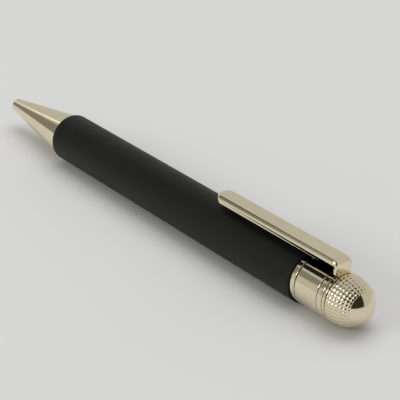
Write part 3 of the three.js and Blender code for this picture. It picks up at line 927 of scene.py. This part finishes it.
def bush(node, bore, thread, pitch, depth):
    """A brass bush, knurled where it is pressed into the barrel and threaded inside."""
    place = Place(node)
    knurling, skin = knurled_skin(place.front + 0.8 * MM, place.end - 0.8 * MM, place.radius)
    outline = [
        (place.front, bore, 2 * FINE_EDGE),
        (place.front, place.radius, 2 * FINE_EDGE),
        *knurling,
        (place.end, place.radius, 2 * FINE_EDGE),
        (place.end, bore, 2 * FINE_EDGE),
        *reversed(thread_rings(*thread, bore, pitch)),
    ]
    relief = both(skin, screw_thread(*thread, bore, pitch, depth))
    lathed(node, "brass", outline, KNURL_STEPS, relief)


def front_bush():
    """Its thread is cut outwards from the bore, so that the nose's smooth end passes through."""
    place = Place("front_bush")
    thread = (place.front + 0.4 * MM, place.end - 2 * MM)
    bore = Place("nose_seal").radius + FIT
    bush("front_bush", bore, thread, THREAD_PITCH, -THREAD_DEPTH)


def rear_bush():
    bush("rear_bush", HOUSING_SKIN + RUN, HOUSING_THREAD, FINE_PITCH, FINE_DEPTH)


def mechanism_housing():
    """The tube of the twist mechanism: a threaded skin, a flange, and grooves for drag ring and circlip.
    The cam pin slides in its two straight slots."""
    place, trim, drag, clip = (Place(n) for n in ("mechanism_housing", "trim_ring", "drag_ring", "circlip"))
    flange_front = trim.end + FACE_GAP
    flange_end = flange_front + 0.7 * MM
    clip_radius = clip.radius + FIT
    outline = [
        (place.front, HOUSING_BORE, 2 * FINE_EDGE),
        (place.front, HOUSING_SKIN, 4 * FINE_EDGE),
        *thread_rings(*HOUSING_THREAD, HOUSING_SKIN, FINE_PITCH),
        (flange_front, HOUSING_SKIN),
        (flange_front, place.radius, 2 * FINE_EDGE),
        (flange_end, place.radius, 2 * FINE_EDGE),
        (flange_end, HOUSING_SKIN),
        *seal_groove(drag, HOUSING_SKIN),
        (place.end, HOUSING_SKIN, 2 * FINE_EDGE),
        (place.end, HOUSING_BORE, FINE_EDGE),
        (clip.end + FIT, HOUSING_BORE),
        (clip.end + FIT, clip_radius),
        (clip.front - FIT, clip_radius),
        (clip.front - FIT, HOUSING_BORE),
    ]
    relief = screw_thread(*HOUSING_THREAD, HOUSING_SKIN, FINE_PITCH, FINE_DEPTH)
    tube = turned("mechanism_housing_brass", outline, INNER_STEPS, relief)
    reach = PIN_RADIUS + RUN + FIT
    slot = rounded_slot(PIN_MIDDLE - TRAVEL, PIN_MIDDLE, reach, HOUSING_SKIN + MM)
    stand_for(combined(tube, slot), "mechanism_housing")


def rounded_slot(first, last, radius, half_width):
    """A cutter for a straight slot with round ends, which goes through the pen from side to side."""
    profile = []
    for middle, turn in ((last, 0), (first, math.pi)):
        for step in range(SLOT_END_STEPS + 1):
            angle = turn + math.pi * step / SLOT_END_STEPS
            profile.append((middle + radius * math.sin(angle), AXIS + radius * math.cos(angle)))
    return bar("cutter", 2, [(x, y, z) for y in (-half_width, half_width) for x, z in profile])


def cam_sleeve():
    """The sleeve that turns with the cap: two helical slots push the pin along."""
    place = Place("cam_sleeve")
    bore = place.radius - CAM_WALL
    piece = ring("cam_sleeve", "moulded", bore, 2 * FINE_EDGE, INNER_STEPS)
    ease = math.asin((PIN_RADIUS + RUN) / bore)
    slope = TRAVEL / (TWIST * bore)
    half_width = PIN_RADIUS * math.hypot(1, slope) + RUN
    for start in (0, math.pi):
        slot = winding_bar(start, ease, half_width, bore - CAM_WALL, place.radius + CAM_WALL)
        piece = combined(piece, slot)
    stand_for(piece, "cam_sleeve")


def winding_bar(start, ease, half_width, inner, outer):
    """A cutter for a helical slot with round ends, which starts at an angle from +Y."""
    vertices = []
    for step in range(CAM_SLOT_STEPS + 1):
        turn = -ease + (TWIST + 2 * ease) * step / CAM_SLOT_STEPS
        past = max(0, -turn, turn - TWIST) / ease
        half = half_width * max(0.25, 1 - past**2) ** 0.5
        middle = PIN_MIDDLE - TRAVEL * min(1, max(0, turn / TWIST))
        out = Vector((0, math.cos(start + turn), math.sin(start + turn)))
        for side, radius in ((-1, inner), (-1, outer), (1, outer), (1, inner)):
            vertices.append(Vector((middle + side * half, 0, AXIS)) + radius * out)
    return bar("cutter", CAM_SLOT_STEPS + 1, vertices)


def cross_bar(name, radius, half_width, edge):
    """A round bar across the pen where the cam pin lies."""
    rod = turned(name, rod_outline(-half_width, half_width, radius, edge), BORE_STEPS)
    for vertex in rod.data.vertices:
        x, y, z = vertex.co
        vertex.co = (PIN_MIDDLE - y, x, z)
    return rod


def plunger():
    """The pusher: a pad on the refill's end, a shaft with an oil groove, and the pin's hole."""
    place = Place("plunger")
    pad_end = place.front + PAD_LENGTH
    shaft = Place("cam_sleeve").radius - CAM_WALL - RUN
    outline = [
        (place.front, 0),
        (place.front, place.radius, 4 * FINE_EDGE),
        (pad_end, place.radius, 4 * FINE_EDGE),
        (pad_end, shaft, FINE_EDGE),
        *groove((PIN_MIDDLE + place.end) / 2, 0.3 * MM, 0.2 * MM, shaft, GROOVE_DEPTH),
        (place.end, shaft, 4 * FINE_EDGE),
        (place.end, 0),
    ]
    piece = turned("plunger_moulded", outline)
    hole = cross_bar("cutter", PIN_RADIUS + FIT, shaft + MM, 0)
    stand_for(combined(piece, hole), "plunger")


def cam_pin():
    stand_for(smooth(cross_bar("cam_pin_ground", PIN_RADIUS, PIN_HALF_LENGTH, 3 * FINE_EDGE)), "cam_pin")


def drive_stem():
    """The stem that turns the sleeve: a spigot, a flange, a round neck and a hexagon."""
    place, sleeve, washer = Place("drive_stem"), Place("cam_sleeve"), Place("thrust_washer")
    spigot = sleeve.radius - CAM_WALL - FIT
    carrier_front = Place("cap_carrier").front
    outline = [
        (place.front, 0),
        (place.front, spigot, 4 * FINE_EDGE),
        (sleeve.end + FACE_GAP, spigot),
        (sleeve.end + FACE_GAP, sleeve.radius, FINE_EDGE),
        (washer.front - FACE_GAP, sleeve.radius, FINE_EDGE),
        (washer.front - FACE_GAP, STEM_RADIUS),
        (carrier_front, STEM_RADIUS, FINE_EDGE),
        (carrier_front, 0),
    ]
    relief = knurl(place.front + 0.3 * MM, sleeve.end, spigot, 40)
    stem = turned("drive_stem_brass", outline, 80, relief)
    hexagon = chamfered_hexagon(carrier_front - FIT, place.end)
    stand_for(combined(stem, hexagon, "UNION"), "drive_stem")


def chamfered_hexagon(front, end):
    """A hexagon bar whose corners are turned down at its tail end."""
    wide = 3 * MM
    outline = [(front - MM, 0), (front - MM, wide), (end + 0.4 * MM, wide), (end, STEM_RADIUS), (end, 0)]
    return combined(prism(front, end, STEM_RADIUS, 6), turned("cutter", outline, BORE_STEPS), "INTERSECT")


def thrust_washer():
    washer = ring("thrust_washer", "stamped", STEM_RADIUS + RUN, 2 * FINE_EDGE, INNER_STEPS)
    stand_for(washer, "thrust_washer")


def circlip():
    """An open spring ring with rounded edges, and a hole near each end for the pliers."""
    place = Place("circlip")
    clip = ring("circlip", "stamped", STEM_RADIUS + LOOSE, 2 * FINE_EDGE, INNER_STEPS)
    half_gap = 0.8 * MM
    clip = combined(clip, slab((place.front - MM, -half_gap, 0), (place.end + MM, half_gap, AXIS)))
    middle = (STEM_RADIUS + LOOSE + place.radius) / 2
    for side in (-1, 1):
        angle = math.pi + side * math.radians(32)
        hole = turned("cutter", rod_outline(place.front - MM, place.end + MM, 0.3 * MM, 0), 24)
        for vertex in hole.data.vertices:
            vertex.co += Vector((0, middle * math.sin(angle), middle * math.cos(angle)))
        clip = combined(clip, hole)
    stand_for(clip, "circlip")


# ---- Inside the cap ----


def cap_bearing():
    """The plastic sleeve that the band turns on, with grease grooves round its skin."""
    place = Place("cap_bearing")
    grooves = []
    for share in (0.3, 0.7):
        middle = place.front + share * (place.end - place.front)
        grooves += groove(middle, 0.2 * MM, 0, place.radius, GROOVE_DEPTH)
    sleeve = ring("cap_bearing", "moulded", HOUSING_SKIN + RUN, 2 * FINE_EDGE, INNER_STEPS, grooves)
    stand_for(sleeve, "cap_bearing")


def cap_carrier():
    """The cap's core: knurled where the band sits, with a hexagon bore, a threaded hole and the slot."""
    place, stud = Place("cap_carrier"), Place("dome_stud")
    band_end = Place("cap_band").end
    neck = place.radius - 0.55 * MM
    knurling, relief = knurled_skin(place.front + 0.5 * MM, band_end - 0.5 * MM, place.radius)
    outline = [
        (place.front, 0),
        (place.front, place.radius, 3 * FINE_EDGE),
        *knurling,
        (band_end, place.radius, FINE_EDGE),
        (band_end, neck),
        (place.end, neck, 2 * FINE_EDGE),
        (place.end, 0),
    ]
    piece = turned("cap_carrier_brass", outline, KNURL_STEPS, relief)
    hex_end = Place("drive_stem").end + RUN
    piece = combined(piece, prism(place.front - MM, hex_end, STEM_RADIUS + RUN, 6))
    piece = combined(piece, stud_thread("cutter", hex_end - RUN, place.end + MM, stud.radius + FIT))
    stand_for(combined(piece, tongue_slot()), "cap_carrier")


def stud_thread(name, front, end, radius, edge=0.0):
    """A threaded bar, either the stud itself or the cutter for its hole."""
    stud = Place("dome_stud")
    thread = (stud.front + 0.1 * MM, stud.end - 0.1 * MM)
    first, last = max(front + edge * 1.5, thread[0]), min(end - edge * 1.5, thread[1])
    outline = [
        (front, 0),
        (front, radius, edge),
        *thread_rings(first, last, radius, FINE_PITCH),
        (end, radius, edge),
        (end, 0),
    ]
    return turned(name, outline, BORE_STEPS, screw_thread(*thread, radius, FINE_PITCH, FINE_DEPTH))


def dome_stud():
    """The threaded stud that holds the dome, with a screwdriver slot in its front end."""
    place = Place("dome_stud")
    stud = stud_thread("dome_stud_steel", place.front, place.end, place.radius, FINE_EDGE)
    half = 0.25 * MM
    slot = slab((place.front - MM, -2 * MM, AXIS - half), (place.front + 0.7 * MM, 2 * MM, AXIS + half))
    stand_for(combined(stud, slot), "dome_stud")


nose_cone()
barrel_tube()
end_rings()
dome()
pocket_clip()

o_ring("nose_seal_ring", "nose_seal")
writing_ball()
refill_tip()
refill_nose()
refill_tube()
refill_plug()
ink_feed()
ink_reservoir()
return_spring()

front_bush()
rear_bush()
mechanism_housing()
cam_sleeve()
plunger()
cam_pin()
drive_stem()
thrust_washer()
circlip()
o_ring("drag_ring_rubber", "drag_ring")

cap_bearing()
cap_carrier()
dome_stud()


# ---- Camera, light and floor ----

VIEW_AZIMUTH = 53.636  # degrees, as in direction()
VIEW_ELEVATION = 25.392
PEN_LEAN = math.radians(2.004)  # the view is turned about the pen by this much
VIEW_LENS = 138.4
VIEW_DISTANCE = 378.5 * MM  # from the joint of nose and barrel
VIEW_RIGHT = 31.5 * MM  # how far the view's middle lies to the right of that joint, and below it
VIEW_DOWN = 15.5 * MM
BACKDROP = (0.645, 0.65, 0.65)


def direction(azimuth, elevation):
    """A unit vector from the pen, in degrees: azimuth 0 is towards -Y and 90 towards +X."""
    a, e = math.radians(azimuth), math.radians(elevation)
    return Vector((math.sin(a) * math.cos(e), -math.cos(a) * math.cos(e), math.sin(e)))


def right_and_up(toward):
    """What is to the right and what is up for a viewer on that side of the pen."""
    right = Vector((0, 0, 1)).cross(toward).normalized()
    return right, toward.cross(right)


def camera():
    toward = direction(VIEW_AZIMUTH, VIEW_ELEVATION)
    lean = Matrix.Rotation(-PEN_LEAN, 3, "X")
    right, up, back = (lean @ axis for axis in (*right_and_up(toward), toward))
    data = bpy.data.cameras.new("camera")
    data.lens = VIEW_LENS
    data.sensor_width = 36
    data.clip_start = 0.01
    data.clip_end = 20
    view = placed("camera", data)
    view.matrix_world = Matrix((right, up, back)).transposed().to_4x4()
    joint = Vector((JOINT, 0, AXIS))
    view.location = joint + VIEW_RIGHT * right - VIEW_DOWN * up + VIEW_DISTANCE * back
    bpy.context.scene.camera = view


def floor():
    """A wide pale floor with a trace of mottling."""
    s = Shader("pale_floor", Specular_IOR_Level=0.15, Roughness=0.9)
    s.shades(s.noise(3), BACKDROP, 0.004)
    size = 6.0
    corners = [(-size, -size, 0), (size, -size, 0), (size, size, 0), (-size, size, 0)]
    piece = new_object("floor", corners, [(0, 1, 2, 3)])
    piece.data.materials.append(s.material)


def card(name, corners, glow):
    """A studio card between four corners, which shows only in reflections."""
    material = bpy.data.materials.new(name)
    material.use_nodes = True
    tree = material.node_tree
    tree.nodes.clear()
    light = tree.nodes.new("ShaderNodeEmission")
    light.inputs["Color"].default_value = (*glow, 1)
    output = tree.nodes.new("ShaderNodeOutputMaterial")
    tree.links.new(light.outputs[0], output.inputs["Surface"])
    piece = new_object(name, corners, [(0, 1, 2, 3)])
    piece.data.materials.append(material)
    piece.visible_camera = False
    piece.visible_diffuse = False
    piece.visible_shadow = False


def upright(azimuth, elevation, distance, width, height):
    """Corners of a card that faces the pen from a direction."""
    toward = direction(azimuth, elevation)
    right, up = right_and_up(toward)
    sides = ((-1, -1), (1, -1), (1, 1), (-1, 1))
    return [toward * distance + right * a * width / 2 + up * b * height / 2 for a, b in sides]


def area(name, azimuth, elevation, distance, width, height, power, glossy=True):
    """A white softbox that faces the pen from a direction, and can be left out of reflections."""
    data = bpy.data.lights.new(name, "AREA")
    data.shape = "RECTANGLE"
    data.size, data.size_y = width, height
    data.energy = power
    light = placed(name, data)
    toward = direction(azimuth, elevation)
    light.location = toward * distance
    light.rotation_mode = "QUATERNION"
    light.rotation_quaternion = toward.to_track_quat("Z", "Y")
    light.visible_glossy = glossy


def studio():
    world = bpy.data.worlds.new("studio")
    world.use_nodes = True
    sky = world.node_tree.nodes["Background"]
    sky.inputs["Color"].default_value = (1.0, 0.985, 0.95, 1)
    sky.inputs["Strength"].default_value = 0.55
    bpy.context.scene.world = world
    area("overhead_softbox", 195, 74, 1.1, 1.2, 1.0, 6.5, glossy=False)
    area("front_softbox", -8, 32, 0.9, 0.45, 0.22, 1.7)
    black = (0.012, 0.012, 0.012)
    card("camera_side_dark", upright(76, 30, 1.0, 1.25, 1.05), (0.03, 0.03, 0.022))
    card("left_wall", upright(-62, 20, 1.2, 0.75, 0.85), (0.24, 0.23, 0.20))
    bend = [(-0.16, -0.11, 1.0), (-0.16, -0.27, 1.0)]
    card("overhead_boom_far", [(-1.8, -0.68, 1.0), (-1.8, -0.02, 1.0), *bend], black)
    card("overhead_boom_near", [*reversed(bend), (0.9, 0.42, 1.0), (0.9, 0.25, 1.0)], black)
    card("left_lamp", upright(-87, 21, 1.2, 0.07, 0.12), (1.25, 1.2, 1.05))
    bpy.context.scene.view_settings.view_transform = "Standard"


camera()
floor()
studio()
